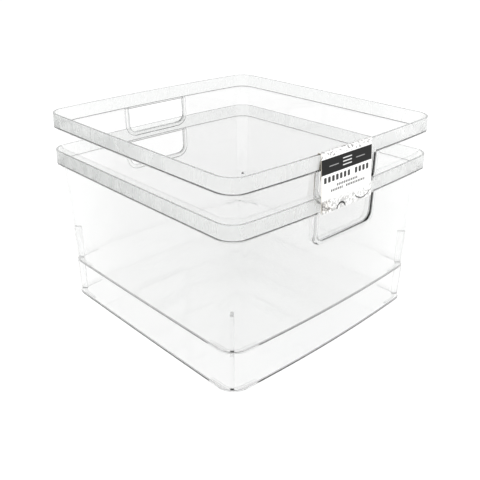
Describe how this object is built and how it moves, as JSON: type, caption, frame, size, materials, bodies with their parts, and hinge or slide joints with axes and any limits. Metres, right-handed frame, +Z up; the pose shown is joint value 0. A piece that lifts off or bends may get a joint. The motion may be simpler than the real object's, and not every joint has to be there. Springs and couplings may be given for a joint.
{
  "type": "stackable storage bin",
  "caption": "Clear square bins with hand openings, one nested in the other on corner ribs, with a printed card looped over the rim.",
  "frame": {"origin": "middle of the lower bin's footprint, on the plane its foot ridges stand on", "axes": "+Z up; -Y is the handle side that carries the card, +Y the other handle side; +X to the right when facing the card"},
  "size_m": [0.2552, 0.2667, 0.1886],
  "materials": {
    "clear_plastic_lower": "clear, glossy",
    "clear_plastic_upper": "clear, glossy",
    "printed_card": "printed card, matt"
  },
  "bodies": {
    "lower": {"lower_bin": "clear_plastic_lower"},
    "upper": {"upper_bin": "clear_plastic_upper"},
    "card": {"label_card": "printed_card"}
  },
  "joints": [
    {"name": "upper_bin_lift", "type": "slide", "parent": "lower", "child": "upper", "axis": [0, 0, 1], "range_m": [0, 0.16]},
    {"name": "card_slide", "type": "slide", "parent": "upper", "child": "card", "axis": [1, 0, 0], "range_m": [-0.0006, 0.0144]}
  ]
}
